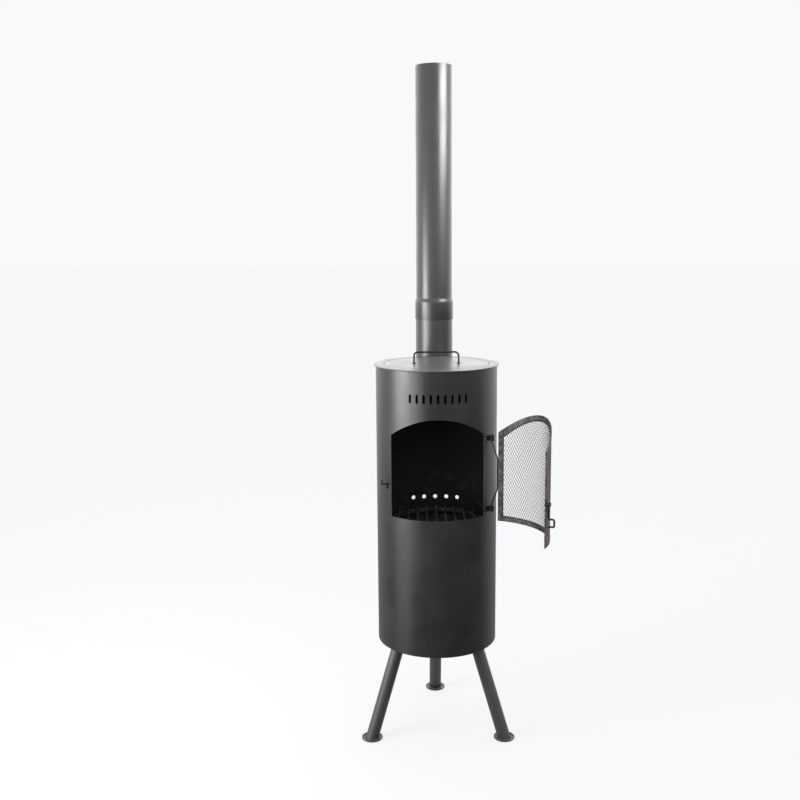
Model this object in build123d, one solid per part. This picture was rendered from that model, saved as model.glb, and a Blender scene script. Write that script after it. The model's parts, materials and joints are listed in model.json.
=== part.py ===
from build123d import *
from math import cos, degrees, radians, sin
import os

# Free-standing steel chiminea: a tall drum on three splayed legs, with an arched mesh door,
# a lift-off lid, and a flue that leaves the rear wall and stands behind the drum.
# Millimetres. The ground is z = 0, the drum's axis is the Z axis, and the door opening faces -Y.

# Drum
DRUM_R = 200.0
WALL = 2.0
DRUM_LOW = 315.0
DRUM_HIGH = 1252.0
PLATE = 3.0
FLOOR_Z = 690.0

# Top ring and lid
RING_R = 207.0
RING_HOLE_R = 173.5
LID_R = 172.5
TAB_COUNT = 3
TAB_WIDTH = 30.0
TAB_INNER_R = 163.0
TAB_OUTER_R = 190.0

# Lid handle, bent from round wire
HANDLE_WIRE = 6.0
HANDLE_SPAN = 147.0
HANDLE_HEIGHT = 40.0
HANDLE_BEND = 13.0
HANDLE_WASHER_R = 7.0
HANDLE_WASHER_T = 1.6

# Arched door opening in the drum, as angles either side of the front and heights
OPENING_HALF_ANGLE = 48.3
OPENING_LOW = 773.0
OPENING_SPRING = 1041.0
OPENING_APEX = 1100.0

# Row of upright slots above the opening, and the row of air holes in the rear wall
SLOT_COUNT = 9
SLOT_PITCH = 22.75
SLOT_WIDTH = 8.0
SLOT_HEIGHT = 29.0
SLOT_Z = 1165.0
AIR_HOLE_COUNT = 5
AIR_HOLE_PITCH = 40.0
AIR_HOLE_R = 7.0
AIR_HOLE_Z = 752.0

# Flue: a mitred elbow behind the drum, and a chimney pipe that slips over it
FLUE_Y = 278.0
ELBOW_Z = 1160.0
ELBOW_R = 65.0
FLUE_WALL = 1.5
ELBOW_TOP = 1436.0
SOCKET_LOW = 1380.0
SOCKET_HIGH = 1439.0
SHOULDER_HIGH = 1457.0
SOCKET_R = 66.9
PIPE_R = 63.0
PIPE_TOP = 2243.0

# Door: flat-bar frame rolled to a radius that stands clear of the drum
DOOR_R = 208.5
DOOR_T = 3.0
DOOR_HALF_ANGLE = 50.2
DOOR_LOW = 755.0
DOOR_SPRING = 1045.0
DOOR_APEX = 1121.0
STRIP = 17.0
MESH_R = 207.3
MESH_T = 0.6

# Hinge: two rolled eyes on the drum, and one bent rod that turns in both
HINGE_R = 212.0
HINGE_ANGLE = 56.0
REST_OPENING = 110.5
ROD_R = 2.5
RUNNING_GAP = 0.05
EYE_R = 7.0
EYE_STRAP = 4.0
EYE_HEIGHT = 18.0
EYE_UPPER_Z = 1027.0
EYE_LOWER_Z = 794.0
EYE_LEG_ANGLE = 49.5
EYE_LEG_END = 54.6
ROD_PROUD = 3.0
ROD_STRAIGHT = 6.0
ROD_BOW_HEIGHT = 50.0
ROD_BEND = 14.0

# Latch: a lever bent from round wire, hung on a headed pin on the door's free strip
LATCH_WIRE_R = 3.0
LATCH_PIN_R = 4.0
LATCH_Z = 888.0
LATCH_R = 214.0
LATCH_LOOP_HIGH = 844.0
LATCH_LOOP_LOW = 821.0
LATCH_LOOP_R = 232.5
LATCH_TIP_R = 213.5
LATCH_TIP_LENGTH = 8.0
LATCH_BEND = 4.5
LATCH_SHOULDER_R = 6.0
LATCH_HEAD_R = 7.0
LATCH_HEAD_T = 3.0
LATCH_SIDE_GAP = 0.3
LATCH_ANGLE = -(DOOR_HALF_ANGLE - degrees(STRIP / 2 / DOOR_R))

# Keeper: a J-shaped wire hook welded to the drum beside the door
KEEPER_ANGLE = -54.2
KEEPER_LOW = 862.0
KEEPER_RUN_Z = 878.5
KEEPER_HIGH = 893.0
KEEPER_TIP_R = 223.0
KEEPER_BEND = 4.5

# Legs
LEG_TUBE_R = 21.2
LEG_WALL = 2.0
LEG_TOP_R = 150.0
LEG_FOOT_R = 256.0
LEG_ANGLES = {"left": -60.0, "right": 60.0, "rear": 180.0}
LEG_PLATE_R = 42.0
LEG_PLATE_T = 4.0
LEG_BOLT_R = 3.0
LEG_BOLT_CIRCLE_R = 32.0
LEG_BOLTS_PER_LEG = 3
BOLT_HEAD_AF = 10.0
BOLT_HEAD_T = 4.0
NUT_AF = 10.0
NUT_T = 5.0
FOOT_R = 35.0
FOOT_T = 3.0
FOOT_RIM = 2.5
FOOT_HEIGHT = 6.0

# Fire grate: a ring and bars on short feet, small enough to lift out through the lid opening
GRATE_R = 160.0
GRATE_RING_T = 6.0
GRATE_RING_LOW = 710.0
GRATE_RING_HIGH = 722.0
GRATE_BAR_R = 4.0
GRATE_BAR_COUNT = 9
GRATE_BAR_PITCH = 32.0
GRATE_FOOT_COUNT = 4

MARGIN = 10.0
DRUM_INNER_R = DRUM_R - WALL


def at_angle(radius, angle, z):
    """The point at this radius and height, turned by the angle from the front, + towards +X."""
    return Vector(radius * sin(radians(angle)), -radius * cos(radians(angle)), z)


def tube(outer, inner, low, high):
    """An upright tube on the Z axis."""
    wall = Circle(outer) - Circle(inner)
    return Pos(0, 0, low) * extrude(wall, high - low)


def disc(radius, low, thickness):
    """A round plate on the Z axis."""
    return Pos(0, 0, low) * extrude(Circle(radius), thickness)


def cylinder_between(start, end, radius):
    """A solid round bar from one point to another."""
    along = Vector(*end) - Vector(*start)
    return extrude(Plane(origin=start, z_dir=along) * Circle(radius), along.length)


def wedge(half_angle, reach, low, high):
    """Everything within this angle of the front, out to the reach."""
    half_width = reach * sin(radians(half_angle))
    side_y = -reach * cos(radians(half_angle))
    front_y = 2 * side_y
    corners = [
        (0, 0),
        (-half_width, side_y),
        (-half_width, front_y),
        (half_width, front_y),
        (half_width, side_y),
    ]
    return Pos(0, 0, low) * extrude(make_face(Polyline(*corners, close=True)), high - low)


def arch_prism(radius, half_angle, low, spring, apex, inset=0.0):
    """A prism towards the front whose top is the arch, moved inwards all round by the inset."""
    half_chord = radius * sin(radians(half_angle))
    rise = apex - spring
    arch_r = (half_chord**2 + rise**2) / (2 * rise)
    centre_z = apex - arch_r
    edge_x = radius * sin(radians(half_angle - degrees(inset / radius)))
    edge_z = centre_z + ((arch_r - inset) ** 2 - edge_x**2) ** 0.5
    wide = edge_x + 2 * MARGIN
    arch = ThreePointArc((-edge_x, edge_z), (0, apex - inset), (edge_x, edge_z))
    corners = [(edge_x, edge_z), (wide, edge_z), (wide, low + inset)]
    mirrored = [(-x, z) for x, z in reversed(corners)]
    face = make_face(Plane.XZ * (arch + Polyline(*corners, *mirrored)))
    return extrude(face, radius + 2 * MARGIN, dir=(0, -1, 0))


def arched_panel(outer, inner, radius, half_angle, low, spring, apex, inset=0.0):
    """A piece of a tube wall with radial sides, a level bottom and an arched top."""
    inner_angle = half_angle - degrees(inset / radius)
    panel = tube(outer, inner, low - MARGIN, apex + MARGIN)
    panel &= wedge(inner_angle, 2 * radius, low - MARGIN, apex + MARGIN)
    return panel & arch_prism(radius, half_angle, low, spring, apex, inset)


def bent_bar(points, bend, radius):
    """A round bar along straight runs joined by bends of one radius."""
    path = FilletPolyline(*points, radius=bend)
    return sweep(Plane(origin=path @ 0, z_dir=path % 0) * Circle(radius), path=path)


def body_shell():
    """The rolled drum with its arched opening, slots, air holes and flue hole."""
    shell = tube(DRUM_R, DRUM_INNER_R, DRUM_LOW, DRUM_HIGH)
    opening = (DRUM_R, OPENING_HALF_ANGLE, OPENING_LOW, OPENING_SPRING, OPENING_APEX)
    shell -= arched_panel(DRUM_R + MARGIN, DRUM_R - MARGIN, *opening)
    slot = extrude(SlotOverall(SLOT_HEIGHT, SLOT_WIDTH, rotation=90), DRUM_R / 2)
    slot_step = degrees(SLOT_PITCH / DRUM_R)
    for index in range(SLOT_COUNT):
        angle = (index - (SLOT_COUNT - 1) / 2) * slot_step
        shell -= Rot(0, 0, angle) * Pos(0, -DRUM_R + MARGIN, SLOT_Z) * Rot(90, 0, 0) * slot
    hole_step = degrees(AIR_HOLE_PITCH / DRUM_R)
    for index in range(AIR_HOLE_COUNT):
        angle = (index - (AIR_HOLE_COUNT - 1) / 2) * hole_step
        drill = Cylinder(AIR_HOLE_R, 4 * MARGIN, rotation=(90, 0, 0))
        shell -= Rot(0, 0, angle) * Pos(0, DRUM_R, AIR_HOLE_Z) * drill
    flue_hole = Cylinder(ELBOW_R - FLUE_WALL, 8 * MARGIN, rotation=(90, 0, 0))
    shell -= Pos(0, DRUM_R, ELBOW_Z) * flue_hole
    return shell


def leg_bolt_places(angle):
    """Where one leg's bolts stand, on a circle about the leg's top."""
    centre = at_angle(LEG_TOP_R, angle, 0)
    places = []
    for index in range(LEG_BOLTS_PER_LEG):
        turn = angle + 180.0 + index * 360.0 / LEG_BOLTS_PER_LEG
        offset = at_angle(LEG_BOLT_CIRCLE_R, turn, 0)
        places.append((centre.X + offset.X, centre.Y + offset.Y))
    return places


def all_bolt_places():
    """Where the bolts of all three legs stand."""
    return [place for angle in LEG_ANGLES.values() for place in leg_bolt_places(angle)]


def bottom_plate():
    """The disc that closes the drum's lower end and carries the legs."""
    plate = disc(DRUM_INNER_R, DRUM_LOW, PLATE)
    for x, y in all_bolt_places():
        plate -= Pos(x, y, DRUM_LOW) * Cylinder(LEG_BOLT_R + 0.25, 4 * PLATE)
    return plate


def lid_tabs():
    """Tabs under the ring's inner edge, which the lid rests on."""
    low = DRUM_HIGH - PLATE
    tabs = []
    for index in range(TAB_COUNT):
        middle = (TAB_INNER_R + TAB_OUTER_R) / 2
        tab = Box(TAB_OUTER_R - TAB_INNER_R, TAB_WIDTH, PLATE)
        tabs.append(Rot(0, 0, 30 + index * 360 / TAB_COUNT) * Pos(middle, 0, low + PLATE / 2) * tab)
    return Compound(children=tabs)


def mitre_half(reach, above):
    """The space above or below the elbow's 45 degree mitre plane."""
    side = 1 if above else -1
    corners = [(-reach, reach), (reach, -reach), (side * reach, side * reach)]
    outline = Polyline(*[(FLUE_Y + y, ELBOW_Z + z) for y, z in corners], close=True)
    return extrude(Plane.YZ * make_face(outline), reach, both=True)


def flue_branch():
    """The level half of the elbow, fitted to the drum's rear wall and mitred at 45 degrees."""
    ring = Circle(ELBOW_R) - Circle(ELBOW_R - FLUE_WALL)
    level = extrude(Plane(origin=(0, 0, ELBOW_Z), z_dir=(0, 1, 0)) * ring, FLUE_Y + 2 * ELBOW_R)
    level -= disc(DRUM_R, ELBOW_Z - 2 * ELBOW_R, 4 * ELBOW_R)
    return level & mitre_half(6 * ELBOW_R, above=False)


def flue_riser():
    """The upright half of the elbow, mitred at its foot, up to the socket joint."""
    upright = tube(ELBOW_R, ELBOW_R - FLUE_WALL, ELBOW_Z - 2 * ELBOW_R, ELBOW_TOP)
    return Pos(0, FLUE_Y, 0) * upright & mitre_half(6 * ELBOW_R, above=True)


def chimney_pipe():
    """The long pipe, with its lower end swelled into a socket over the riser."""
    wall = FLUE_WALL
    outline = Polyline(
        (SOCKET_R - wall, SOCKET_LOW),
        (SOCKET_R, SOCKET_LOW),
        (SOCKET_R, SOCKET_HIGH),
        (PIPE_R, SHOULDER_HIGH),
        (PIPE_R, PIPE_TOP),
        (PIPE_R - wall, PIPE_TOP),
        (PIPE_R - wall, SHOULDER_HIGH),
        (SOCKET_R - wall, SOCKET_HIGH),
        close=True,
    )
    return Pos(0, FLUE_Y, 0) * revolve(Plane.XZ * make_face(outline), Axis.Z)


def lid_handle():
    """A wire hoop standing on the lid."""
    low = DRUM_HIGH + PLATE
    half = HANDLE_SPAN / 2
    high = low + HANDLE_HEIGHT - HANDLE_WIRE / 2
    points = [(-half, 0, low), (-half, 0, high), (half, 0, high), (half, 0, low)]
    return bent_bar(points, HANDLE_BEND, HANDLE_WIRE / 2)


def lid_handle_washers():
    """The washers that the handle's ends are welded through."""
    low = DRUM_HIGH + PLATE
    washer = Circle(HANDLE_WASHER_R) - Circle(HANDLE_WIRE / 2)
    washers = [Pos(side * HANDLE_SPAN / 2, 0, low) * extrude(washer, HANDLE_WASHER_T) for side in (-1, 1)]
    return Compound(children=washers)


def hinge_eye(z):
    """A strip that lies on the drum, leaves it and rolls round the hinge rod."""
    hinge = at_angle(HINGE_R, HINGE_ANGLE, 0)
    centre = Pos(hinge.X, hinge.Y)
    leg = (Circle(DRUM_R + EYE_STRAP) - Circle(DRUM_R)) & eye_leg_sector()
    towards_drum = at_angle(DRUM_R + EYE_STRAP / 2, EYE_LEG_END - 0.6, 0)
    neck = Line((towards_drum.X, towards_drum.Y), (hinge.X, hinge.Y))
    strap = trace(neck, EYE_STRAP)
    shape = leg + strap - Circle(DRUM_R)
    shape += centre * Circle(EYE_R)
    shape -= centre * Circle(ROD_R + RUNNING_GAP)
    return Pos(0, 0, z - EYE_HEIGHT / 2) * extrude(shape, EYE_HEIGHT)


def eye_leg_sector():
    """The slice of angle that a hinge eye's leg covers on the drum."""
    reach = 2 * DRUM_R
    first = at_angle(reach, EYE_LEG_ANGLE, 0)
    last = at_angle(reach, EYE_LEG_END, 0)
    return make_face(Polyline((0, 0), (first.X, first.Y), (last.X, last.Y), close=True))


def latch_keeper():
    """A hook that the latch lever drops into."""
    root_r = DRUM_R + LATCH_WIRE_R + 0.05
    points = [
        at_angle(root_r, KEEPER_ANGLE, KEEPER_LOW),
        at_angle(root_r, KEEPER_ANGLE, KEEPER_RUN_Z),
        at_angle(KEEPER_TIP_R, KEEPER_ANGLE, KEEPER_RUN_Z),
        at_angle(KEEPER_TIP_R, KEEPER_ANGLE, KEEPER_HIGH),
    ]
    return bent_bar(points, KEEPER_BEND, LATCH_WIRE_R)


def leg_ends(angle):
    """The ends of one leg's axis, at the mounting plate and at the foot."""
    top = at_angle(LEG_TOP_R, angle, DRUM_LOW - LEG_PLATE_T)
    bottom = at_angle(LEG_FOOT_R, angle, FOOT_T)
    return top, bottom


def leg(angle):
    """One splayed tube, cut level at both ends."""
    top, bottom = leg_ends(angle)
    along = (top - bottom).normalized()
    start = bottom - along * LEG_TUBE_R
    end = top + along * LEG_TUBE_R
    bar = cylinder_between(start, end, LEG_TUBE_R) - cylinder_between(start, end, LEG_TUBE_R - LEG_WALL)
    height = top.Z - bottom.Z
    return bar & Pos(0, 0, bottom.Z + height / 2) * Box(4 * DRUM_R, 4 * DRUM_R, height)


def leg_plate(angle):
    """The round plate on a leg's top, bolted under the bottom plate."""
    top, _ = leg_ends(angle)
    plate = Pos(top.X, top.Y, 0) * disc(LEG_PLATE_R, DRUM_LOW - LEG_PLATE_T, LEG_PLATE_T)
    for x, y in leg_bolt_places(angle):
        plate -= Pos(x, y, DRUM_LOW) * Cylinder(LEG_BOLT_R + 0.25, 4 * LEG_PLATE_T)
    return plate


def foot(angle):
    """A pressed dish with an upturned rim."""
    outline = Polyline(
        (0, 0),
        (FOOT_R - FOOT_RIM, 0),
        (FOOT_R, FOOT_RIM),
        (FOOT_R, FOOT_HEIGHT),
        (FOOT_R - FOOT_RIM, FOOT_HEIGHT),
        (FOOT_R - 1.8 * FOOT_RIM, FOOT_T),
        (0, FOOT_T),
        close=True,
    )
    dish = revolve(Plane.XZ * make_face(outline), Axis.Z)
    place = at_angle(LEG_FOOT_R, angle, 0)
    return Pos(place.X, place.Y, 0) * dish


def leg_bolts():
    """Hexagon-head bolts, put in from below."""
    head_low = DRUM_LOW - LEG_PLATE_T - BOLT_HEAD_T
    shank_length = LEG_PLATE_T + PLATE + NUT_T + 2.0
    bolt = extrude(RegularPolygon(BOLT_HEAD_AF / 2, 6, major_radius=False), BOLT_HEAD_T)
    bolt += Pos(0, 0, BOLT_HEAD_T) * extrude(Circle(LEG_BOLT_R), shank_length)
    return Compound(children=[Pos(x, y, head_low) * bolt for x, y in all_bolt_places()])


def leg_nuts():
    """Nuts on the leg bolts, inside the drum."""
    nut = extrude(RegularPolygon(NUT_AF / 2, 6, major_radius=False) - Circle(LEG_BOLT_R), NUT_T)
    return Compound(children=[Pos(x, y, DRUM_LOW + PLATE) * nut for x, y in all_bolt_places()])


def grate_ring():
    """A flat bar rolled on edge into a ring, on short feet that stand on the fire floor."""
    ring = tube(GRATE_R, GRATE_R - GRATE_RING_T, GRATE_RING_LOW, GRATE_RING_HIGH)
    foot_r = GRATE_R - GRATE_RING_T / 2
    for index in range(GRATE_FOOT_COUNT):
        angle = 45.0 + index * 360.0 / GRATE_FOOT_COUNT
        place = at_angle(foot_r, angle, 0)
        ring += Pos(place.X, place.Y, 0) * disc(GRATE_BAR_R, FLOOR_Z, GRATE_RING_LOW - FLOOR_Z)
    return ring


def grate_bars():
    """Parallel bars laid across the ring and welded on top of it."""
    bars = []
    z = GRATE_RING_HIGH + GRATE_BAR_R
    for index in range(GRATE_BAR_COUNT):
        x = (index - (GRATE_BAR_COUNT - 1) / 2) * GRATE_BAR_PITCH
        half = (GRATE_R**2 - x**2) ** 0.5
        bars.append(cylinder_between((x, -half, z), (x, half, z), GRATE_BAR_R))
    return Compound(children=bars)


def door_frame():
    """The flat-bar frame, closed: an arched panel with the same shape cut out one strip inside it."""
    shape = (DOOR_R, DOOR_HALF_ANGLE, DOOR_LOW, DOOR_SPRING, DOOR_APEX)
    frame = arched_panel(DOOR_R, DOOR_R - DOOR_T, *shape)
    return frame - arched_panel(DOOR_R + MARGIN, DOOR_R - MARGIN, *shape, inset=STRIP)


def door_mesh():
    """The mesh, closed: a thin curved sheet that fills the frame."""
    shape = (DOOR_R, DOOR_HALF_ANGLE, DOOR_LOW, DOOR_SPRING, DOOR_APEX)
    return arched_panel(MESH_R, MESH_R - MESH_T, *shape, inset=STRIP)


def hinge_rod():
    """The door's rod, closed: straight pins in the eyes, bowed to the door's edge between them."""
    edge_r = DOOR_R - DOOR_T / 2
    edge_angle = DOOR_HALF_ANGLE + degrees((ROD_R + 0.1) / edge_r)
    pin_top = EYE_UPPER_Z + EYE_HEIGHT / 2 + ROD_PROUD
    pin_low = EYE_LOWER_Z - EYE_HEIGHT / 2 - ROD_PROUD
    leave_top = EYE_UPPER_Z - EYE_HEIGHT / 2 - ROD_STRAIGHT
    leave_low = EYE_LOWER_Z + EYE_HEIGHT / 2 + ROD_STRAIGHT
    points = [
        at_angle(HINGE_R, HINGE_ANGLE, pin_top),
        at_angle(HINGE_R, HINGE_ANGLE, leave_top),
        at_angle(edge_r, edge_angle, leave_top - ROD_BOW_HEIGHT),
        at_angle(edge_r, edge_angle, leave_low + ROD_BOW_HEIGHT),
        at_angle(HINGE_R, HINGE_ANGLE, leave_low),
        at_angle(HINGE_R, HINGE_ANGLE, pin_low),
    ]
    return bent_bar(points, ROD_BEND, ROD_R)


def latch_pin():
    """The headed pin on the free strip, closed, with a shoulder that holds the lever off it."""
    plane = Plane(origin=(0, 0, LATCH_Z), z_dir=at_angle(1, LATCH_ANGLE, 0))
    shoulder = LATCH_R - LATCH_WIRE_R - LATCH_SIDE_GAP
    head = LATCH_R + LATCH_WIRE_R + LATCH_SIDE_GAP
    pin = extrude(plane * Circle(LATCH_SHOULDER_R), shoulder)
    pin += extrude(plane * Circle(LATCH_PIN_R), head)
    pin += extrude(plane.offset(head) * Circle(LATCH_HEAD_R), LATCH_HEAD_T)
    return pin - disc(DOOR_R, LATCH_Z - 2 * MARGIN, 4 * MARGIN)


def latch_lever():
    """The wire lever, closed and hanging: an eye, a shank, and a finger loop that stands outwards."""
    plane = Plane(origin=at_angle(LATCH_R, LATCH_ANGLE, LATCH_Z), z_dir=at_angle(1, LATCH_ANGLE, 0))
    eye_r = LATCH_PIN_R + RUNNING_GAP + LATCH_WIRE_R
    eye = plane * Torus(eye_r, LATCH_WIRE_R)
    along = at_angle(1, LATCH_ANGLE - 90.0, 0)
    points = [
        at_angle(LATCH_R, LATCH_ANGLE, LATCH_Z - eye_r),
        at_angle(LATCH_R, LATCH_ANGLE, LATCH_LOOP_HIGH),
        at_angle(LATCH_LOOP_R, LATCH_ANGLE, LATCH_LOOP_HIGH),
        at_angle(LATCH_LOOP_R, LATCH_ANGLE, LATCH_LOOP_LOW),
        at_angle(LATCH_TIP_R, LATCH_ANGLE, LATCH_LOOP_LOW),
        at_angle(LATCH_TIP_R, LATCH_ANGLE, LATCH_LOOP_LOW) + along * LATCH_TIP_LENGTH,
    ]
    return eye + bent_bar(points, LATCH_BEND, LATCH_WIRE_R)


def opened(shape):
    """The door's pieces are drawn closed and then turned open about the hinge."""
    hinge = at_angle(HINGE_R, HINGE_ANGLE, 0)
    return shape.rotate(Axis((hinge.X, hinge.Y, 0), (0, 0, 1)), REST_OPENING)


def main():
    """Write each piece to its own STEP file."""
    pieces = {
        "body_shell": body_shell(),
        "bottom_plate": bottom_plate(),
        "fire_floor": disc(DRUM_INNER_R, FLOOR_Z - PLATE, PLATE),
        "top_ring": tube(RING_R, RING_HOLE_R, DRUM_HIGH, DRUM_HIGH + PLATE),
        "lid_tabs": lid_tabs(),
        "flue_branch": flue_branch(),
        "flue_riser": flue_riser(),
        "chimney_pipe": chimney_pipe(),
        "lid": disc(LID_R, DRUM_HIGH, PLATE),
        "lid_handle": lid_handle(),
        "lid_handle_washers": lid_handle_washers(),
        "hinge_eye_upper": hinge_eye(EYE_UPPER_Z),
        "hinge_eye_lower": hinge_eye(EYE_LOWER_Z),
        "latch_keeper": latch_keeper(),
        "leg_bolts": leg_bolts(),
        "leg_nuts": leg_nuts(),
        "grate_ring": grate_ring(),
        "grate_bars": grate_bars(),
        "door_frame": opened(door_frame()),
        "door_mesh": opened(door_mesh()),
        "hinge_rod": opened(hinge_rod()),
        "latch_pin": opened(latch_pin()),
        "latch_lever": opened(latch_lever()),
    }
    for side, angle in LEG_ANGLES.items():
        pieces[f"leg_{side}"] = leg(angle)
        pieces[f"leg_plate_{side}"] = leg_plate(angle)
        pieces[f"foot_{side}"] = foot(angle)
    os.makedirs("parts", exist_ok=True)
    for name, piece in pieces.items():
        export_step(piece, f"parts/{name}.step")


main()
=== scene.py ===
"""Looks for the chiminea: camera, stage and lights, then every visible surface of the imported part."""

import json
from math import cos, degrees, pi, radians, sin, sqrt, tan

import bmesh
import bpy
from mathutils import Matrix, Vector


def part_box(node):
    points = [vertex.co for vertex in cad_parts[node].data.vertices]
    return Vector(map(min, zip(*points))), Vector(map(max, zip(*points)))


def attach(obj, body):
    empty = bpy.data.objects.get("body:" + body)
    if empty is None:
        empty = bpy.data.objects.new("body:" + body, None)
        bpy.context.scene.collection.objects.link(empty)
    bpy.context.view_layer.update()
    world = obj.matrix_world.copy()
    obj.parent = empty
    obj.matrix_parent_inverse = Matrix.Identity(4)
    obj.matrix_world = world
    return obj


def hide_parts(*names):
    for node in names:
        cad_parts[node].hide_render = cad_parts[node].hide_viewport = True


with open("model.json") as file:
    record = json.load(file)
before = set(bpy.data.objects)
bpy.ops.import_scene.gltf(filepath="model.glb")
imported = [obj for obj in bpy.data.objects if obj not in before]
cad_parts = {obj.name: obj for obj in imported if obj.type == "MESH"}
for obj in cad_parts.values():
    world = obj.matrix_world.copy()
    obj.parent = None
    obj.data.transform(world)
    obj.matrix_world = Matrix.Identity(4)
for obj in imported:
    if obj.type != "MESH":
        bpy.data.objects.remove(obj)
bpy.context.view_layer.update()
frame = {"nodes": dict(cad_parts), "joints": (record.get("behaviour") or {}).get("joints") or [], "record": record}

MM = 0.001
JOINTS = {joint["name"]: joint for joint in frame["joints"]}
MOUNTS = {mount["name"]: mount for mount in frame["record"]["mounts"]}

# Camera, in metres and degrees
CAMERA_DISTANCE = 3.241
CAMERA_AZIMUTH = -1.524
CAMERA_HEIGHT = 1.656
CAMERA_YAW = 2.134
CAMERA_PITCH = 9.173
CAMERA_ROLL = -0.466
CAMERA_LENS = 44.53

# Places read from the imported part
DRUM_LO, DRUM_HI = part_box("body_shell")
DRUM_R = DRUM_HI.x
RING_LO, RING_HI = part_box("top_ring")
LID_LO, LID_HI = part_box("lid")
PIPE_LO, PIPE_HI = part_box("chimney_pipe")
_, RISER_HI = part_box("flue_riser")
HINGE = Vector(JOINTS["door_hinge"]["pos_m"])
REST_OPENING = -JOINTS["door_hinge"]["range_deg"][0]
FLUE_Y = MOUNTS["flue_top"]["pos_m"][1]
PIPE_R = MOUNTS["flue_top"]["dims"]["r_mm"] * MM
RISER_R = RISER_HI.x

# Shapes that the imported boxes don't give
ELBOW_Z = 1.160
FLUE_WALL = 1.5 * MM
RING_HOLE_R = 0.1735
DOOR_R = 208.5 * MM
DOOR_HALF_ANGLE = 50.2
DOOR_LOW = 0.755
DOOR_SPRING = 1.045
DOOR_APEX = 1.121
DOOR_STRIP = 17.0 * MM
DOOR_FRAME_T = 3.0 * MM
ARCH_CHORDS = 24
MESH_R = 207.0 * MM
MESH_CELL_WIDTH = 8.9 * MM
MESH_CELL_HEIGHT = 16.1 * MM
MESH_STRAND_HALF_ACROSS = 0.527 * MM
MESH_STRAND_HALF_UP = 1.0625 * MM
MESH_SHEET = 0.9 * MM
MESH_TILT = 0.55 * MM
KEEPER_ANGLE = -54.2
LEG_ANGLES = {"left": -60.0, "right": 60.0, "rear": 180.0}
LEG_R = 21.2 * MM
LEG_TOP_R = 0.150
LEG_TOP_Z = 0.311
LEG_FOOT_R = 0.256
FOOT_R = 35.0 * MM
FOOT_T = 3.0 * MM
FOOT_RIM = 2.5 * MM
FOOT_ROLL = 4.5 * MM
FOOT_HEIGHT = 6.0 * MM
EYE_LEG_ANGLE = 49.5
EYE_LEG_END = 54.0
LATCH_Z = 0.888
LATCH_SHOULDER_R = 6.0 * MM
HANDLE_WIRE_R = 3.0 * MM
WASHER_T = 1.6 * MM

# Edges rounded or rolled in the looks only
PLATE_EDGE = 0.5 * MM
RING_EDGE = 1.2 * MM
LID_EDGE = 1.1 * MM
FOOT_EDGE = 1.6 * MM
SOCKET_ROLL = 1.2 * MM
PIPE_HEM = 0.6 * MM
LIP_INSET = 0.3 * MM
SOCKET_SHOULDER = 1.0 * MM
SWELL_START = 3.0 * MM
SWELL_HEIGHT = 18.0 * MM
SWELL_STEPS = 8
CORNER_STEPS = 4
CORNER_REACH = 0.45

# Welds: the length of a puddle, how far beads sit off a face, and the seams' angles from the front
PUDDLE = 3.2 * MM
BEAD_LIFT = 0.8 * MM
SEAM_CLEARANCE = 2.0 * MM
DRUM_SEAM_ANGLE = 150.0
FLUE_SEAM_ANGLE = 165.0
RISER_SEAM_START = 70.0 * MM
KEEPER_WELD_LENGTH = 13.0 * MM
KEEPER_WELD_ASIDE = 2.5 * MM
ROD_TACKS = {"low": (0.868, 0.888), "high": (0.933, 0.953)}
MESH_WELD_INSET = 1.4 * MM


def at_angle(radius, angle, z):
    """The point at this radius and height, turned by the angle from the front, + towards +X."""
    return Vector((radius * sin(radians(angle)), -radius * cos(radians(angle)), z))


# ---------------------------------------------------------------- camera, stage and lights


def make_camera():
    """A camera at standing eye height, a little left of the door's middle and turned to its right."""
    turn = radians(CAMERA_AZIMUTH + CAMERA_YAW)
    pitch = radians(CAMERA_PITCH)
    roll = radians(CAMERA_ROLL)
    forward = Vector((-sin(turn) * cos(pitch), cos(turn) * cos(pitch), -sin(pitch)))
    level_right = Vector((cos(turn), sin(turn), 0))
    level_up = level_right.cross(forward)
    right = level_right * cos(roll) + level_up * sin(roll)
    up = level_up * cos(roll) - level_right * sin(roll)
    camera = bpy.data.objects.new("camera", bpy.data.cameras.new("camera"))
    bpy.context.scene.collection.objects.link(camera)
    camera.data.lens = CAMERA_LENS
    camera.data.sensor_width = 36.0
    rotation = Matrix((right, up, -forward)).transposed().to_4x4()
    place = at_angle(CAMERA_DISTANCE, CAMERA_AZIMUTH, CAMERA_HEIGHT)
    camera.matrix_world = Matrix.Translation(place) @ rotation
    bpy.context.scene.camera = camera
    bpy.context.scene.view_settings.view_transform = "Standard"


BACKGROUND = (0.939, 0.947, 0.965, 1.0)

# Light by direction: straight down is 0, the horizon 0.5 and straight up 1
ROOM_BY_HEIGHT = [
    (0.0, 0.8),
    (0.15, 0.8),
    (0.26, 0.12),
    (0.31, 0.0),
    (0.37, 0.0),
    (0.43, 0.28),
    (0.50, 1.2),
    (0.60, 1.6),
    (1.0, 1.2),
]
BACK_WALL_BY_HEIGHT = [(0.25, 0.3), (0.36, 0.45), (0.45, 1.1), (0.5, 1.2), (0.6, 0.95), (0.8, 0.6)]

# How far towards +Y a direction points where the back wall's light begins and where it is full
BACK_WALL_START = -0.05
BACK_WALL_FULL = 0.5

FLOOR_REACH = 60.0
FLOOR_GLOW = 0.80
FLOOR_WHITE = 0.11


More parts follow.
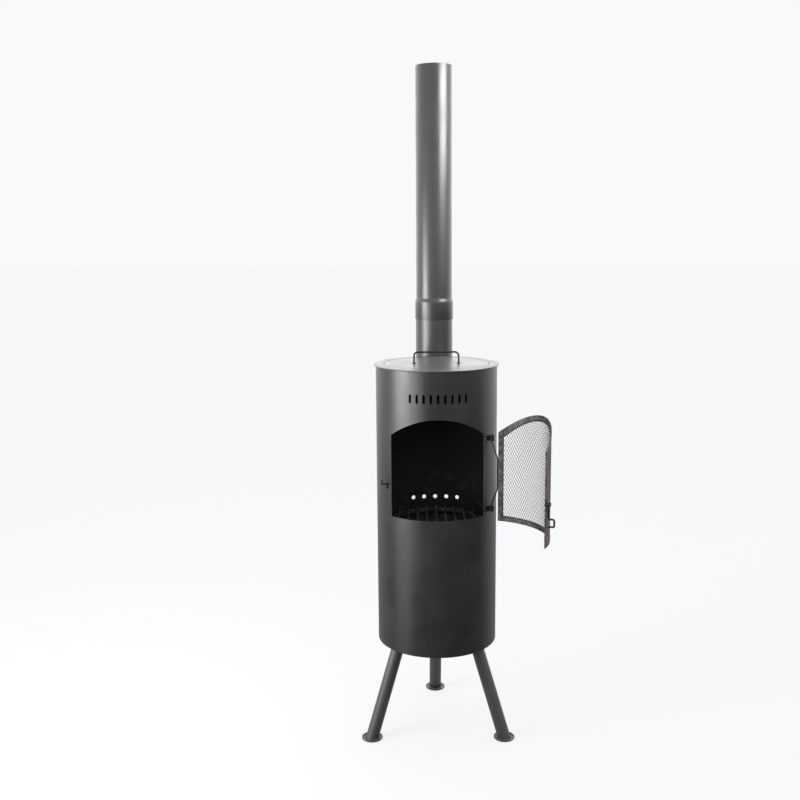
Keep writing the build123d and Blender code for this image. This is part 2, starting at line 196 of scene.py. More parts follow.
def make_world():
    """A pale background for the camera, and for the light a studio that is bright behind and above."""
    world = bpy.data.worlds.new("studio")
    bpy.context.scene.world = world
    world.use_nodes = True
    tree = world.node_tree
    tree.nodes.clear()
    direction = tree.nodes.new("ShaderNodeTexCoord")
    split = tree.nodes.new("ShaderNodeSeparateXYZ")
    tree.links.new(direction.outputs["Generated"], split.inputs[0])

    height = tree.nodes.new("ShaderNodeMapRange")
    height.inputs["From Min"].default_value = -1.0
    tree.links.new(split.outputs["Z"], height.inputs["Value"])
    room = tree.nodes.new("ShaderNodeValToRGB")
    fill_ramp(room, [(place, (value, value, value)) for place, value in ROOM_BY_HEIGHT])
    tree.links.new(height.outputs[0], room.inputs[0])
    wall = tree.nodes.new("ShaderNodeValToRGB")
    fill_ramp(wall, [(place, (value, value, value)) for place, value in BACK_WALL_BY_HEIGHT])
    tree.links.new(height.outputs[0], wall.inputs[0])

    behind = tree.nodes.new("ShaderNodeMapRange")
    behind.interpolation_type = "SMOOTHSTEP"
    behind.inputs["From Min"].default_value = BACK_WALL_START
    behind.inputs["From Max"].default_value = BACK_WALL_FULL
    tree.links.new(split.outputs["Y"], behind.inputs["Value"])
    lit = tree.nodes.new("ShaderNodeMix")
    lit.data_type = "RGBA"
    lit.blend_type = "ADD"
    tree.links.new(behind.outputs[0], lit.inputs["Factor"])
    tree.links.new(room.outputs[0], lit.inputs["A"])
    tree.links.new(wall.outputs[0], lit.inputs["B"])

    ray = tree.nodes.new("ShaderNodeLightPath")
    seen = tree.nodes.new("ShaderNodeMix")
    seen.data_type = "RGBA"
    seen.inputs["B"].default_value = BACKGROUND
    tree.links.new(ray.outputs["Is Camera Ray"], seen.inputs["Factor"])
    tree.links.new(lit.outputs["Result"], seen.inputs["A"])
    background = tree.nodes.new("ShaderNodeBackground")
    output = tree.nodes.new("ShaderNodeOutputWorld")
    tree.links.new(seen.outputs["Result"], background.inputs["Color"])
    tree.links.new(background.outputs[0], output.inputs["Surface"])


def make_floor():
    """A wide pale floor that takes soft contact shadows, and that gloss and bounce light don't see."""
    mesh = bpy.data.meshes.new("studio_floor")
    signs = ((-1, -1), (1, -1), (1, 1), (-1, 1))
    corners = [(x_sign * FLOOR_REACH, y_sign * FLOOR_REACH, 0) for x_sign, y_sign in signs]
    mesh.from_pydata(corners, [], [(0, 1, 2, 3)])
    floor = bpy.data.objects.new("studio_floor", mesh)
    bpy.context.scene.collection.objects.link(floor)
    material = bpy.data.materials.new("studio_floor")
    material.use_nodes = True
    tree = material.node_tree
    tree.nodes.clear()
    glow = tree.nodes.new("ShaderNodeEmission")
    glow.inputs["Color"].default_value = BACKGROUND
    glow.inputs["Strength"].default_value = FLOOR_GLOW
    matt = tree.nodes.new("ShaderNodeBsdfDiffuse")
    matt.inputs["Color"].default_value = (FLOOR_WHITE, FLOOR_WHITE, FLOOR_WHITE, 1)
    both = tree.nodes.new("ShaderNodeAddShader")
    output = tree.nodes.new("ShaderNodeOutputMaterial")
    tree.links.new(glow.outputs[0], both.inputs[0])
    tree.links.new(matt.outputs[0], both.inputs[1])
    tree.links.new(both.outputs[0], output.inputs["Surface"])
    mesh.materials.append(material)
    floor.visible_glossy = False
    floor.visible_diffuse = False
    floor.visible_shadow = False


def soft_box(name, angle, distance, height, size, radiance, aim_height, gloss_only=False):
    """A rectangular light at this angle from the front, + towards +X, aimed at the drum's axis."""
    width, tall = size
    data = bpy.data.lights.new(name, "AREA")
    data.shape = "RECTANGLE"
    data.size = width
    data.size_y = tall
    data.energy = radiance * pi * width * tall
    light = bpy.data.objects.new(name, data)
    bpy.context.scene.collection.objects.link(light)
    light.location = at_angle(distance, angle, height)
    towards = Vector((0, 0, aim_height)) - light.location
    light.rotation_mode = "QUATERNION"
    light.rotation_quaternion = towards.to_track_quat("-Z", "Y")
    light.visible_camera = False
    light.visible_diffuse = not gloss_only


SOFT_BOXES = {
    "key_left": {
        "angle": -66.0,
        "distance": 2.2,
        "height": 1.28,
        "size": (1.15, 1.3),
        "radiance": 15.0,
        "aim_height": 1.15,
    },
    "side_left": {
        "angle": -40.0,
        "distance": 2.2,
        "height": 0.85,
        "size": (0.7, 0.6),
        "radiance": 7.0,
        "aim_height": 0.9,
        "gloss_only": True,
    },
    "bounce_left": {
        "angle": -64.0,
        "distance": 2.2,
        "height": 0.10,
        "size": (1.3, 1.2),
        "radiance": 1.9,
        "aim_height": 0.6,
        "gloss_only": True,
    },
    "tall_right": {
        "angle": 68.0,
        "distance": 2.4,
        "height": 3.36,
        "size": (2.1, 1.2),
        "radiance": 23.0,
        "aim_height": 2.3,
        "gloss_only": True,
    },
}


def make_lights():
    """The key light, and three boxes that only shape the paint's highlights."""
    for name, place in SOFT_BOXES.items():
        soft_box(name, **place)


# ---------------------------------------------------------------- materials


def fill_ramp(ramp, stops):
    """Set a colour ramp's stops, each a place from 0 to 1 and a colour."""
    elements = ramp.color_ramp.elements
    while len(elements) > 1:
        elements.remove(elements[-1])
    for index, (place, colour) in enumerate(stops):
        element = elements[0] if index == 0 else elements.new(place)
        element.position = place
        element.color = (*colour, 1.0)


class Surface:
    """A Principled material under construction, with the object's own coordinates in metres."""

    def __init__(self, name, roughness, metallic=0.0):
        self.material = bpy.data.materials.new(name)
        self.material.use_nodes = True
        self.tree = self.material.node_tree
        self.shader = self.tree.nodes["Principled BSDF"]
        self.shader.inputs["Roughness"].default_value = roughness
        self.shader.inputs["Metallic"].default_value = metallic
        self.place = self.tree.nodes.new("ShaderNodeTexCoord").outputs["Object"]

    def link(self, output, socket):
        """Join an output to an input."""
        self.tree.links.new(output, socket)

    def noise(self, scale, detail):
        """Noise with this many cells to the metre, from 0 to 1."""
        texture = self.tree.nodes.new("ShaderNodeTexNoise")
        texture.inputs["Scale"].default_value = scale
        texture.inputs["Detail"].default_value = detail
        self.link(self.place, texture.inputs["Vector"])
        return texture.outputs["Fac"]

    def ramp(self, value, stops):
        """A colour looked up from the value."""
        node = self.tree.nodes.new("ShaderNodeValToRGB")
        fill_ramp(node, stops)
        self.link(value, node.inputs[0])
        return node.outputs["Color"]

    def spread(self, value, low, high, start=0.0, end=1.0):
        """The value's stretch from start to end, turned into low to high."""
        node = self.tree.nodes.new("ShaderNodeMapRange")
        node.inputs["From Min"].default_value = start
        node.inputs["From Max"].default_value = end
        node.inputs["To Min"].default_value = low
        node.inputs["To Max"].default_value = high
        self.link(value, node.inputs["Value"])
        return node.outputs[0]

    def maths(self, operation, first, second):
        """Two values, or a value and a number, combined by this operation."""
        node = self.tree.nodes.new("ShaderNodeMath")
        node.operation = operation
        for socket, value in zip(node.inputs, (first, second)):
            if isinstance(value, (int, float)):
                socket.default_value = value
            else:
                self.link(value, socket)
        return node.outputs[0]

    def blend(self, share, first, second):
        """The first colour where the share is 0, and the second where it is 1."""
        node = self.tree.nodes.new("ShaderNodeMix")
        node.data_type = "RGBA"
        self.link(share, node.inputs["Factor"])
        for key, value in (("A", first), ("B", second)):
            if isinstance(value, tuple):
                node.inputs[key].default_value = (*value, 1.0)
            else:
                self.link(value, node.inputs[key])
        return node.outputs["Result"]

    def radius(self):
        """Distance from the drum's axis."""
        flat = self.tree.nodes.new("ShaderNodeVectorMath")
        flat.operation = "MULTIPLY"
        flat.inputs[1].default_value = (1, 1, 0)
        self.link(self.place, flat.inputs[0])
        length = self.tree.nodes.new("ShaderNodeVectorMath")
        length.operation = "LENGTH"
        self.link(flat.outputs[0], length.inputs[0])
        return length.outputs["Value"]

    def height(self):
        """Height above the ground at rest."""
        split = self.tree.nodes.new("ShaderNodeSeparateXYZ")
        self.link(self.place, split.inputs[0])
        return split.outputs["Z"]

    def colour(self, value):
        """Drive the base colour."""
        self.link(value, self.shader.inputs["Base Color"])

    def roughness(self, value):
        """Drive the roughness."""
        self.link(value, self.shader.inputs["Roughness"])

    def bump(self, *layers):
        """Bump from several textures, each with its depth in metres."""
        normal = None
        for value, depth in layers:
            node = self.tree.nodes.new("ShaderNodeBump")
            node.inputs["Distance"].default_value = depth
            self.link(value, node.inputs["Height"])
            if normal is not None:
                self.link(normal, node.inputs["Normal"])
            normal = node.outputs[0]
        self.link(normal, self.shader.inputs["Normal"])


def shaded(colour, factor):
    """The colour, lighter or darker by this factor."""
    return tuple(channel * factor for channel in colour)


def heat_paint(name, base, roughness, mottle=0.16, peel=0.03 * MM, gloss=0.5, cloud=9.0, reach=0.2):
    """Sprayed heat-resistant paint: cloudy in tone and sheen, with a fine orange peel.

    The colour strays by the mottle's share either way as the noise moves by the reach from its middle.
    """
    surface = Surface(name, roughness)
    surface.shader.inputs["Specular IOR Level"].default_value = gloss
    clouds = surface.maths("MULTIPLY", surface.noise(cloud, 4.0), 0.7)
    specks = surface.noise(900.0, 2.0)
    tone = surface.maths("ADD", clouds, surface.maths("MULTIPLY", specks, 0.3))
    stops = [
        (0.5 - reach, shaded(base, 1 - mottle)),
        (0.5, base),
        (0.5 + reach, shaded(base, 1 + mottle)),
    ]
    surface.colour(surface.ramp(tone, stops))
    surface.roughness(surface.spread(tone, roughness - 0.05, roughness + 0.05, start=0.35, end=0.65))
    surface.bump((specks, peel), (surface.noise(260.0, 2.0), 2 * peel))
    return surface


SOOT = (0.006, 0.0055, 0.005)
ASH = (0.16, 0.15, 0.14)
RUST = (0.085, 0.032, 0.014)
BURNT_BLACK = (0.018, 0.016, 0.015)
SOOT_FADE = 0.4 * MM
RUST_FULL_BELOW = 0.69
RUST_GONE_ABOVE = 0.95


def sooted_paint(name, base, roughness, soot_inside_of):
    """Heat paint outside this radius from the drum's axis, and matt soot inside it."""
    surface = heat_paint(name, base, roughness)
    fade_starts = soot_inside_of - SOOT_FADE
    inside = surface.spread(surface.radius(), 1.0, 0.0, start=fade_starts, end=soot_inside_of)
    painted = surface.shader.inputs["Base Color"].links[0].from_socket
    sheen = surface.shader.inputs["Roughness"].links[0].from_socket
    flakes = surface.noise(38.0, 6.0)
    low_down = surface.spread(surface.height(), 0.6, 0.0, start=RUST_FULL_BELOW, end=RUST_GONE_ABOVE)
    rusty = surface.maths("MULTIPLY", surface.spread(flakes, 0.0, 1.0, start=0.56, end=0.66), low_down)
    surface.colour(surface.blend(inside, painted, surface.blend(rusty, SOOT, RUST)))
    surface.roughness(surface.maths("MAXIMUM", sheen, surface.maths("MULTIPLY", inside, 0.9)))
    return surface.material


def burnt_steel(name):
    """Bare steel that has been in the fire: soot, ash in the hollows and some rust."""
    surface = Surface(name, 0.8)
    large = surface.noise(24.0, 6.0)
    small = surface.noise(210.0, 4.0)
    ashy = surface.spread(surface.maths("MULTIPLY", large, small), 0.0, 0.85, start=0.22, end=0.42)
    rusty = surface.spread(surface.noise(52.0, 5.0), 0.0, 0.8, start=0.54, end=0.68)
    surface.colour(surface.blend(ashy, surface.blend(rusty, BURNT_BLACK, RUST), ASH))
    surface.roughness(surface.spread(small, 0.65, 0.95, start=0.3, end=0.7))
    surface.bump((small, 0.6 * MM), (large, 0.4 * MM))
    return surface.material


def zinc(name):
    """Zinc-plated fasteners, a little dulled."""
    surface = Surface(name, 0.35, metallic=1.0)
    spots = surface.noise(420.0, 4.0)
    surface.colour(surface.ramp(spots, [(0.35, (0.32, 0.32, 0.33)), (0.6, (0.55, 0.55, 0.56))]))
    surface.roughness(surface.spread(spots, 0.28, 0.5, start=0.3, end=0.7))
    surface.bump((spots, 0.05 * MM))
    return surface.material


DRUM_BLACK = (0.0078, 0.0077, 0.0075)
DRUM_SOOT_DEPTH = 0.5 * MM
PAINTS = {
    "ring_paint": {"base": (0.060, 0.059, 0.058), "roughness": 0.34},
    "lid_paint": {"base": (0.070, 0.069, 0.068), "roughness": 0.33},
    "pipe_paint": {"base": (0.018, 0.0177, 0.0172), "roughness": 0.35, "gloss": 0.65},
    "door_paint": {
        "base": (0.034, 0.0292, 0.0258),
        "roughness": 0.48,
        "mottle": 0.95,
        "peel": 0.08 * MM,
        "gloss": 0.30,
        "cloud": 70.0,
        "reach": 0.09,
    },
    "mesh_paint": {"base": (0.060, 0.044, 0.039), "roughness": 0.55, "mottle": 0.3},
    "wire_paint": {
        "base": (0.006, 0.0059, 0.0057),
        "roughness": 0.34,
        "mottle": 0.2,
        "peel": 0.02 * MM,
        "gloss": 0.3,
    },
    "leg_paint": {"base": (0.022, 0.0214, 0.0206), "roughness": 0.42, "mottle": 0.25},
}


def make_materials():
    """One material for each of the record's slots."""
    materials = {"drum_paint": sooted_paint("drum_paint", DRUM_BLACK, 0.37, DRUM_R - DRUM_SOOT_DEPTH)}
    for name, look in PAINTS.items():
        materials[name] = heat_paint(name, **look).material
    materials["sooted_steel"] = burnt_steel("sooted_steel")
    materials["zinc_steel"] = zinc("zinc_steel")
    return materials


make_camera()
make_world()
make_floor()
make_lights()
MATERIALS = make_materials()


def paint_cad_nodes():
    """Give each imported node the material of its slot."""
    for subpart in frame["record"]["subparts"]:
        piece = frame["nodes"][subpart["node"]]
        material = MATERIALS[subpart["material_slot"]]
        if not piece.data.materials:
            piece.data.materials.append(material)
        for slot in piece.material_slots:
            slot.material = material


def soften(node, width):
    """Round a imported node's sharp edges by this width, with modifiers only."""
    piece = frame["nodes"][node]
    weld = piece.modifiers.new("weld", "WELD")
    weld.merge_threshold = 0.01 * MM
    bevel = piece.modifiers.new("bevel", "BEVEL")
    bevel.width = width
    bevel.segments = 2
    bevel.limit_method = "ANGLE"
    bevel.angle_limit = radians(40)
    normals = piece.modifiers.new("normals", "WEIGHTED_NORMAL")
    normals.keep_sharp = True


paint_cad_nodes()


# ---------------------------------------------------------------- building pieces


def finished(name, shape, body, slot, *nodes, smooth_angle=35.0):
    """Turn a bmesh into a piece that rides on the body, in the slot's material, instead of these nodes."""
    bmesh.ops.recalc_face_normals(shape, faces=shape.faces)
    mesh = bpy.data.meshes.new(name)
    shape.to_mesh(mesh)
    shape.free()
    mesh.shade_smooth()
    mesh.set_sharp_from_angle(angle=radians(smooth_angle))
    mesh.materials.append(MATERIALS[slot])
    piece = bpy.data.objects.new(name, mesh)
    bpy.context.scene.collection.objects.link(piece)
    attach(piece, body)
    if nodes:
        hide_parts(*nodes)


def filleted(corners, radius):
    """A closed outline with each corner rounded, by this radius or as much as its sides allow."""
    outline = []
    count = len(corners)
    for index in range(count):
        before = Vector(corners[index - 1])
        corner = Vector(corners[index])
        after = Vector(corners[(index + 1) % count])
        first = (before - corner).normalized()
        second = (after - corner).normalized()
        half = first.angle(second) / 2
        shortest = min((before - corner).length, (after - corner).length)
        reach = min(radius / tan(half), CORNER_REACH * shortest)
        round_r = reach * tan(half)
        centre = corner + (first + second).normalized() * (round_r / sin(half))
        start = corner + first * reach - centre
        end = corner + second * reach - centre
        for step in range(CORNER_STEPS + 1):
            share = step / CORNER_STEPS
            point = centre + (start * (1 - share) + end * share).normalized() * round_r
            outline.append((point.x, point.y))
    return outline


def lathe(outline, segments, centre_x=0.0, centre_y=0.0):
    """A closed outline of (radius, height) points turned about an upright axis."""
    shape = bmesh.new()
    rings = []
    for step in range(segments):
        turn = 2 * pi * step / segments
        ring = [
            shape.verts.new((centre_x + radius * cos(turn), centre_y + radius * sin(turn), z))
            for radius, z in outline
        ]
        rings.append(ring)
    for step in range(segments):
        ring = rings[step]
        following = rings[(step + 1) % segments]
        for index in range(len(outline)):
            other = (index + 1) % len(outline)
            shape.faces.new((ring[index], ring[other], following[other], following[index]))
    return shape


def top_ring():
    """The ring with a slightly rolled outer edge."""
    low, high = RING_LO.z, RING_HI.z
    corners = [(RING_HOLE_R, low), (RING_HI.x, low), (RING_HI.x, high), (RING_HOLE_R, high)]
    shape = lathe(filleted(corners, RING_EDGE), segments=192)
    finished("top_ring_rolled", shape, "stove", "ring_paint", "top_ring")


def solid_of_revolution(profile, edge, **where):
    """A profile from the axis out and back, rounded, with a pinhole on the axis too small to see.

    The profile's first and last corners only say how high its two faces are.
    """
    pinhole = 0.05 * MM
    low = profile[0][1]
    high = profile[-1][1]
    corner_points = CORNER_STEPS + 1
    rounded = filleted(profile, edge)[corner_points:-corner_points]
    return lathe([(pinhole, low), *rounded, (pinhole, high)], **where)


def lid_disc():
    """The lid's plate with its edge rounded."""
    radius, low, high = LID_HI.x, LID_LO.z, LID_HI.z
    profile = [(radius / 2, low), (radius, low), (radius, high), (radius / 2, high)]
    shape = solid_of_revolution(profile, LID_EDGE, segments=192)
    finished("lid_rounded", shape, "lid", "lid_paint", "lid")


def foot_dish(side, angle):
    """A pressed dish whose rim turns up and rolls over."""
    profile = [
        (FOOT_R / 2, 0),
        (FOOT_R - FOOT_RIM, 0),
        (FOOT_R, FOOT_RIM),
        (FOOT_R, FOOT_HEIGHT),
        (FOOT_R - FOOT_RIM, FOOT_HEIGHT),
        (FOOT_R - FOOT_ROLL, FOOT_T),
        (FOOT_R / 2, FOOT_T),
    ]
    centre = at_angle(LEG_FOOT_R, angle, 0)
    shape = solid_of_revolution(profile, FOOT_EDGE, centre_x=centre.x, centre_y=centre.y, segments=96)
    finished(f"foot_{side}_pressed", shape, "stove", "leg_paint", f"foot_{side}")


def chimney():
    """The long pipe with a smooth swell into its socket, a rolled socket edge and a hemmed top."""
    socket_r = PIPE_HI.x
    swell_low = RISER_HI.z + SWELL_START
    swell = []
    for step in range(SWELL_STEPS + 1):
        share = step / SWELL_STEPS
        ease = share * share * (3 - 2 * share)
        swell.append((socket_r + (PIPE_R - socket_r) * ease, swell_low + SWELL_HEIGHT * share))
    outer = [
        (socket_r, PIPE_LO.z + SOCKET_ROLL),
        (socket_r, swell_low - SOCKET_SHOULDER),
        *swell,
        (PIPE_R, PIPE_HI.z - PIPE_HEM),
    ]
    inner = [(radius - FLUE_WALL, z) for radius, z in reversed(outer)]
    top = [(PIPE_R - LIP_INSET, PIPE_HI.z), (PIPE_R - FLUE_WALL + LIP_INSET, PIPE_HI.z)]
    low = [(socket_r - FLUE_WALL + LIP_INSET, PIPE_LO.z), (socket_r - LIP_INSET, PIPE_LO.z)]
    shape = lathe([*outer, *top, *inner, *low], centre_y=FLUE_Y, segments=96)
    finished("chimney_pipe_swelled", shape, "chimney", "pipe_paint", "chimney_pipe")


def opened(point):
    """Where a point of the closed door is with the door at rest, open."""
    turn = Matrix.Rotation(radians(REST_OPENING), 3, "Z")
    return HINGE + turn @ (Vector(point) - HINGE)


def mesh_half_width():
    """Half the width inside the door's frame, measured along the door's curve."""
    return DOOR_R * radians(DOOR_HALF_ANGLE) - DOOR_STRIP


def arch_height(across):
    """Height of the door frame's inner arch this far along the door's curve from its middle."""
    half_chord = DOOR_R * sin(radians(DOOR_HALF_ANGLE))
    rise = DOOR_APEX - DOOR_SPRING
    arch_r = (half_chord**2 + rise**2) / (2 * rise)
    x = DOOR_R * sin(across / DOOR_R)
    return DOOR_APEX - arch_r + sqrt((arch_r - DOOR_STRIP) ** 2 - x**2)


def trim(shape, place, outward):
    """Cut away what lies beyond a line in the flat sheet."""
    geometry = [*shape.verts, *shape.edges, *shape.faces]
    bmesh.ops.bisect_plane(
        shape,
        geom=geometry,
        dist=1e-6,
        plane_co=(*place, 0),
        plane_no=Vector((*outward, 0)).normalized(),
        clear_outer=True,
    )


def expanded_metal():
    """Staggered diamonds slit from one sheet: strands lean, so that each opening has a raised lip."""
    half_width = mesh_half_width()
    low = DOOR_LOW + DOOR_STRIP
    high = DOOR_APEX
    columns = int(half_width / MESH_CELL_WIDTH) + 2
    rows = int((high - low) / MESH_CELL_HEIGHT) + 2
    hole_x = MESH_CELL_WIDTH / 2 - MESH_STRAND_HALF_ACROSS
    hole_z = MESH_CELL_HEIGHT / 2 - MESH_STRAND_HALF_UP
    shape = bmesh.new()
    corners = {}

    def shared(x, z):
        """The one vertex that neighbouring cells share at this place."""
        key = (round(x * 1e6), round(z * 1e6))
        if key not in corners:
            corners[key] = shape.verts.new((x, z, 0))
        return corners[key]

    for half_row in range(2 * rows + 1):
        z = low + half_row * MESH_CELL_HEIGHT / 2
        shift = MESH_CELL_WIDTH / 2 if half_row % 2 else 0.0
        for column in range(-columns, columns + 1):
            x = column * MESH_CELL_WIDTH + shift
            outer = [
                shared(x + MESH_CELL_WIDTH / 2, z),
                shared(x, z + MESH_CELL_HEIGHT / 2),
                shared(x - MESH_CELL_WIDTH / 2, z),
                shared(x, z - MESH_CELL_HEIGHT / 2),
            ]
            inner = [
                shape.verts.new((x + hole_x, z, 0)),
                shape.verts.new((x, z + hole_z, -MESH_TILT)),
                shape.verts.new((x - hole_x, z, 0)),
                shape.verts.new((x, z - hole_z, MESH_TILT)),
            ]
            for side in range(4):
                following = (side + 1) % 4
                shape.faces.new((outer[side], outer[following], inner[following], inner[side]))

    trim(shape, (half_width, 0), (1, 0))
    trim(shape, (-half_width, 0), (-1, 0))
    trim(shape, (0, low), (0, -1))
    for index in range(ARCH_CHORDS):
        start = -half_width + 2 * half_width * index / ARCH_CHORDS
        end = -half_width + 2 * half_width * (index + 1) / ARCH_CHORDS
        rise = arch_height(end) - arch_height(start)
        trim(shape, (start, arch_height(start)), (-rise, end - start))

    mesh = bpy.data.meshes.new("door_mesh_expanded")
    shape.to_mesh(mesh)
    shape.free()
    piece = bpy.data.objects.new("flat_sheet", mesh)
    bpy.context.scene.collection.objects.link(piece)
    thicken = piece.modifiers.new("thickness", "SOLIDIFY")
    thicken.thickness = MESH_SHEET
    thicken.offset = 0
    bpy.context.view_layer.update()
    solid = piece.evaluated_get(bpy.context.evaluated_depsgraph_get()).to_mesh()
    shape = bmesh.new()
    shape.from_mesh(solid)
    bpy.data.objects.remove(piece)
    for vertex in shape.verts:
        across, up, out = vertex.co
        vertex.co = opened(at_angle(MESH_R + out, degrees(across / MESH_R), up))
    finished("door_mesh_expanded", shape, "door", "mesh_paint", "door_mesh", smooth_angle=30)


# ---------------------------------------------------------------- welds

# Radius of each bead
BEADS = {
    "flue_saddle": 2.6 * MM,
    "leg": 2.2 * MM,
    # The mesh border's bead is sized to also draw the painted shade line at the frame's inner edge
    "mesh_border_shade_line": 2.0 * MM,
    "drum_seam": 1.6 * MM,
    "eye": 1.6 * MM,
    "ring": 1.5 * MM,
    "keeper": 1.5 * MM,
    "rod": 1.3 * MM,
    "flue_mitre": 1.2 * MM,
    "latch_pin": 1.1 * MM,
    "handle": 1.0 * MM,
    "flue_seam": 0.7 * MM,
}
BEAD_SIDES = 8

# How a bead's radius varies, as shares of its full radius
BEAD_LEAST = 0.86
BEAD_PUDDLE = 0.2
BEAD_UNEVEN = 0.06
BEAD_UNEVEN_RATE = 37.0
BEAD_END = 0.3

# A direction that no open bead runs along
ACROSS_OPEN_BEADS = Vector((0.31, -0.85, 0.42))


def bead_share(travelled):
    """A bead's radius this far along it, as a share of its full radius."""
    puddle = abs(sin(pi * travelled / PUDDLE))
    uneven = sin(BEAD_UNEVEN_RATE * travelled / PUDDLE)
    return BEAD_LEAST + BEAD_PUDDLE * puddle + BEAD_UNEVEN * uneven


def spaced(path, closed):
    """Points a quarter of a puddle apart along the path, each with its distance from the start."""
    ends = [*path, path[0]] if closed else path
    points = []
    travelled = 0.0
    for start, end in zip(ends, ends[1:]):
        length = (end - start).length
        steps = max(1, round(4 * length / PUDDLE))
        for step in range(steps):
            points.append((start.lerp(end, step / steps), travelled + length * step / steps))
        travelled += length
    if not closed:
        points.append((ends[-1], travelled))
    return points


def ellipse(centre, first, second, steps=96):
    """Points round an ellipse with these two half-axes."""
    turns = [2 * pi * step / steps for step in range(steps)]
    return [centre + first * cos(turn) + second * sin(turn) for turn in turns]


def bead(name, path, radius, body, slot, closed=False):
    """A weld bead along the path: a half-sunk tube that swells with each puddle of the weld."""
    points = spaced(path, closed)
    count = len(points)
    middle = sum((point for point, _ in points), Vector()) / count
    shape = bmesh.new()
    rings = []
    for index, (point, travelled) in enumerate(points):
        before = points[index - 1 if closed else max(index - 1, 0)][0]
        after = points[(index + 1) % count if closed else min(index + 1, count - 1)][0]
        along = (after - before).normalized()
        outward = point - middle if closed else ACROSS_OPEN_BEADS
        side = along.cross(outward).normalized()
        up = side.cross(along)
        reach = radius * bead_share(travelled)
        if not closed and index in (0, count - 1):
            reach *= BEAD_END
        spokes = ellipse(Vector(), up, side, BEAD_SIDES)
        rings.append([shape.verts.new(point + spoke * reach) for spoke in spokes])
    following = [*rings[1:], rings[0]] if closed else rings[1:]
    for ring, other in zip(rings, following):
        for step in range(BEAD_SIDES):
            beside = (step + 1) % BEAD_SIDES
            shape.faces.new((ring[step], ring[beside], other[beside], other[step]))
    if not closed:
        shape.faces.new(rings[0])
        shape.faces.new(rings[-1])
    finished(name, shape, body, slot, smooth_angle=70.0)


def flue_welds():
    """The branch's saddle on the drum, the elbow's mitre, and the seams down riser and chimney."""
    steps = 120
    saddle = []
    mitre = []
    for step in range(steps):
        turn = 2 * pi * step / steps
        x = RISER_R * sin(turn)
        saddle.append(Vector((x, sqrt(DRUM_R**2 - x**2), ELBOW_Z + RISER_R * cos(turn))))
        mitre.append(Vector((x, FLUE_Y + RISER_R * cos(turn), ELBOW_Z - RISER_R * cos(turn))))
    bead("weld_flue_saddle", saddle, BEADS["flue_saddle"], "stove", "pipe_paint", closed=True)
    bead("weld_flue_mitre", mitre, BEADS["flue_mitre"], "stove", "pipe_paint", closed=True)
    flue_axis = Vector((0, FLUE_Y, 0))
    for name, body, radius, low, high in (
        ("seam_riser", "stove", RISER_R, ELBOW_Z + RISER_SEAM_START, PIPE_LO.z - SEAM_CLEARANCE),
        ("seam_chimney", "chimney", PIPE_R, RISER_HI.z + SWELL_HEIGHT, PIPE_HI.z - SEAM_CLEARANCE),
    ):
        seam = [flue_axis + at_angle(radius, FLUE_SEAM_ANGLE, z) for z in (low, high)]
        bead(name, seam, BEADS["flue_seam"], body, "pipe_paint")


def drum_welds():
    """The seam down the drum's back, and the beads that hold the ring, eyes and keeper on it."""
    heights = (DRUM_LO.z + SEAM_CLEARANCE, RING_LO.z - SEAM_CLEARANCE)
    seam = [at_angle(DRUM_R, DRUM_SEAM_ANGLE, z) for z in heights]
    bead("seam_drum", seam, BEADS["drum_seam"], "stove", "drum_paint")
    ring = ellipse(Vector((0, 0, RING_LO.z)), Vector((DRUM_R, 0, 0)), Vector((0, DRUM_R, 0)), 240)
    bead("weld_ring", ring, BEADS["ring"], "stove", "drum_paint", closed=True)
    for name in ("hinge_eye_upper", "hinge_eye_lower"):
        low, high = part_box(name)
        edges = [
            (EYE_LEG_END, high.z),
            (EYE_LEG_ANGLE, high.z),
            (EYE_LEG_ANGLE, low.z),
            (EYE_LEG_END, low.z),
        ]
        path = [at_angle(DRUM_R + BEAD_LIFT, angle, z) for angle, z in edges]
        bead(f"weld_{name}", path, BEADS["eye"], "stove", "wire_paint")
    keeper_low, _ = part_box("latch_keeper")
    for side, sign in (("left", -1), ("right", 1)):
        angle = KEEPER_ANGLE + sign * degrees(KEEPER_WELD_ASIDE / DRUM_R)
        heights = (keeper_low.z, keeper_low.z + KEEPER_WELD_LENGTH)
        path = [at_angle(DRUM_R + BEAD_LIFT, angle, z) for z in heights]
        bead(f"weld_keeper_{side}", path, BEADS["keeper"], "stove", "wire_paint")


def leg_welds(side, angle):
    """The beads round a leg's oblique ends, on its plate and on its foot."""
    lean = (LEG_FOOT_R - LEG_TOP_R) / (LEG_TOP_Z - FOOT_T)
    outward = at_angle(LEG_R * sqrt(1 + lean**2), angle, 0)
    across = at_angle(LEG_R, angle + 90.0, 0)
    ends = {"plate": (LEG_TOP_R, LEG_TOP_Z), "foot": (LEG_FOOT_R, FOOT_T)}
    for end, (radius, z) in ends.items():
        path = ellipse(at_angle(radius, angle, z), outward, across)
        bead(f"weld_{end}_{side}", path, BEADS["leg"], "stove", "leg_paint", closed=True)


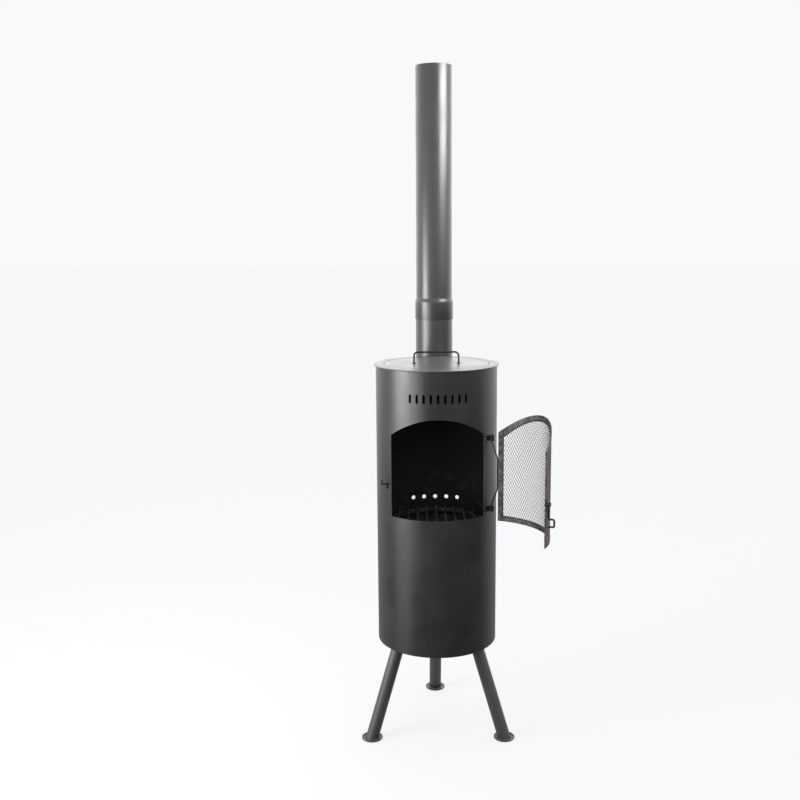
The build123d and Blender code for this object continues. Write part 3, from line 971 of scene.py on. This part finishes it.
def door_welds():
    """Tacks that hold the rod to the frame's edge, and the bead round the latch pin's shoulder."""
    rod_angle = DOOR_HALF_ANGLE + degrees(BEAD_LIFT / DOOR_R)
    for name, heights in ROD_TACKS.items():
        for side, radius in (("outer", DOOR_R), ("inner", DOOR_R - DOOR_FRAME_T)):
            path = [opened(at_angle(radius, rod_angle, z)) for z in heights]
            bead(f"weld_rod_{name}_{side}", path, BEADS["rod"], "door", "wire_paint")
    pin_angle = degrees(DOOR_STRIP / 2 / DOOR_R) - DOOR_HALF_ANGLE
    centre = at_angle(DOOR_R, pin_angle, LATCH_Z)
    across = at_angle(LATCH_SHOULDER_R, pin_angle + 90.0, 0)
    up = Vector((0, 0, LATCH_SHOULDER_R))
    path = [opened(point) for point in ellipse(centre, across, up, 32)]
    bead("weld_latch_pin", path, BEADS["latch_pin"], "door", "wire_paint", closed=True)


def mesh_border_shade_line():
    """The weld that holds the mesh's cut edge all round the frame's inner side. Its near-black paint is partly the
    weld's burnt colour and partly painted shade: the dark line at the frame's inner edge.
    """
    half_width = mesh_half_width()
    low = DOOR_LOW + DOOR_STRIP
    places = [half_width * (2 * step / ARCH_CHORDS - 1) for step in range(ARCH_CHORDS + 1)]
    outline = [(across, low) for across in places]
    outline += [(across, arch_height(across)) for across in reversed(places)]
    radius = MESH_R - MESH_WELD_INSET
    path = [opened(at_angle(radius, degrees(across / DOOR_R), z)) for across, z in outline]
    # Near-black wire paint here is partly the burnt weld and partly painted shade, the dark line along the frame's
    # inner edge
    bead("weld_mesh_border", path, BEADS["mesh_border_shade_line"], "door", "wire_paint", closed=True)


def handle_welds():
    """The beads round the handle's feet, on top of its washers."""
    low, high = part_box("lid_handle")
    for side, x in (("left", low.x + HANDLE_WIRE_R), ("right", high.x - HANDLE_WIRE_R)):
        centre = Vector((x, 0, LID_HI.z + WASHER_T))
        path = ellipse(centre, Vector((HANDLE_WIRE_R, 0, 0)), Vector((0, HANDLE_WIRE_R, 0)), 24)
        bead(f"weld_handle_{side}", path, BEADS["handle"], "lid", "wire_paint", closed=True)


for node in ("door_frame", "leg_plate_left", "leg_plate_right", "leg_plate_rear"):
    soften(node, PLATE_EDGE)
top_ring()
lid_disc()
chimney()
expanded_metal()
flue_welds()
drum_welds()
door_welds()
mesh_border_shade_line()
handle_welds()
for side, angle in LEG_ANGLES.items():
    foot_dish(side, angle)
    leg_welds(side, angle)
